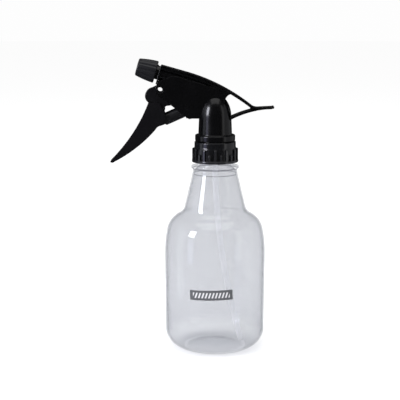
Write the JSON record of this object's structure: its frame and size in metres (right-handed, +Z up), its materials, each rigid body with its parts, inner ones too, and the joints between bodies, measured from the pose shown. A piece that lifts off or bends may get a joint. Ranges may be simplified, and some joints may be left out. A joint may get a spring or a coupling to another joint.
{
  "type": "hand mister",
  "caption": "Trigger spray bottle: clear round bottle, ribbed screw collar, trigger pump with piston and springs, and a fluted screw nozzle.",
  "frame": {"origin": "centre of the ring that the bottle stands on, on the bottle's axis", "axes": "+Z up along the bottle's axis, -X towards the nozzle and trigger, y = 0 is the pump's middle plane"},
  "size_m": [0.1132, 0.0702, 0.2032],
  "materials": {
    "clear_bottle": "clear, glossy",
    "label_grey": "printed, matt",
    "seal_rubber": "soft, pale",
    "collar_black": "glossy black",
    "housing_black": "glossy black",
    "natural_plastic": "natural white",
    "steel": "bright",
    "tube_clear": "translucent",
    "nozzle_black": "satin black",
    "piston_black": "satin black",
    "trigger_black": "satin black"
  },
  "bodies": {
    "bottle": {"bottle": "clear_bottle", "label_panel": "label_grey"},
    "gasket": {"neck_gasket": "seal_rubber"},
    "collar": {"collar": "collar_black"},
    "head": {"pump_housing": "housing_black", "inlet_body": "natural_plastic", "riser_seal": "seal_rubber", "ball_cage": "natural_plastic", "dip_tube": "tube_clear", "outlet_seat": "natural_plastic", "swirl_core": "natural_plastic", "outlet_spring": "steel", "return_spring": "steel"},
    "inlet_ball": {"inlet_ball": "steel"},
    "outlet_ball": {"outlet_ball": "steel"},
    "trigger": {"trigger": "trigger_black"},
    "piston": {"piston": "piston_black", "piston_seal": "seal_rubber", "vent_seal": "seal_rubber"},
    "nozzle_carrier": {"nozzle_seal": "seal_rubber"},
    "nozzle": {"nozzle": "nozzle_black", "orifice_disc": "natural_plastic"}
  },
  "joints": [
    {"name": "head_lift", "type": "slide", "parent": "bottle", "child": "gasket", "axis": [0, 0, 1], "range_m": [0, 0.00634]},
    {"name": "collar_turn", "type": "hinge", "parent": "gasket", "child": "collar", "pos_m": [0, 0, 0.14], "axis": [0, 0, 1], "range_deg": [0, 540]},
    {"name": "head_swivel", "type": "hinge", "parent": "gasket", "child": "head", "pos_m": [0, 0, 0.145], "axis": [0, 0, 1], "continuous": true},
    {"name": "inlet_ball_lift", "type": "slide", "parent": "head", "child": "inlet_ball", "axis": [0, 0, 1], "range_m": [0, 0.0015]},
    {"name": "outlet_ball_lift", "type": "slide", "parent": "head", "child": "outlet_ball", "axis": [-0.9613, 0, 0.2756], "range_m": [0, 0.001], "stiffness_N_per_m": 40, "springref_m": -0.0008, "deforming": ["outlet_spring"]},
    {"name": "trigger_pull", "type": "hinge", "parent": "head", "child": "trigger", "pos_m": [-0.0379, 0, 0.1821], "axis": [0, -1, 0], "range_deg": [0, 26], "stiffness_Nm_per_rad": 0.126, "springref_deg": -33.52},
    {"name": "piston_stroke", "type": "slide", "parent": "head", "child": "piston", "axis": [0.9135, 0, 0.4067], "range_m": [0, 0.0094], "deforming": ["return_spring"]},
    {"name": "nozzle_advance", "type": "slide", "parent": "head", "child": "nozzle_carrier", "axis": [-0.9613, 0, 0.2756], "range_m": [0, 0.00299]},
    {"name": "nozzle_turn", "type": "hinge", "parent": "nozzle_carrier", "child": "nozzle", "pos_m": [-0.0388, 0, 0.1933], "axis": [-0.9613, 0, 0.2756], "range_deg": [0, 540]}
  ],
  "couplings": [
    {"joint": "collar_turn", "follows": "head_lift", "rad_per_m": 1484.3},
    {"joint": "piston_stroke", "follows": "trigger_pull", "m_per_rad": 0.0205},
    {"joint": "nozzle_turn", "follows": "nozzle_advance", "rad_per_m": 3141.6}
  ]
}
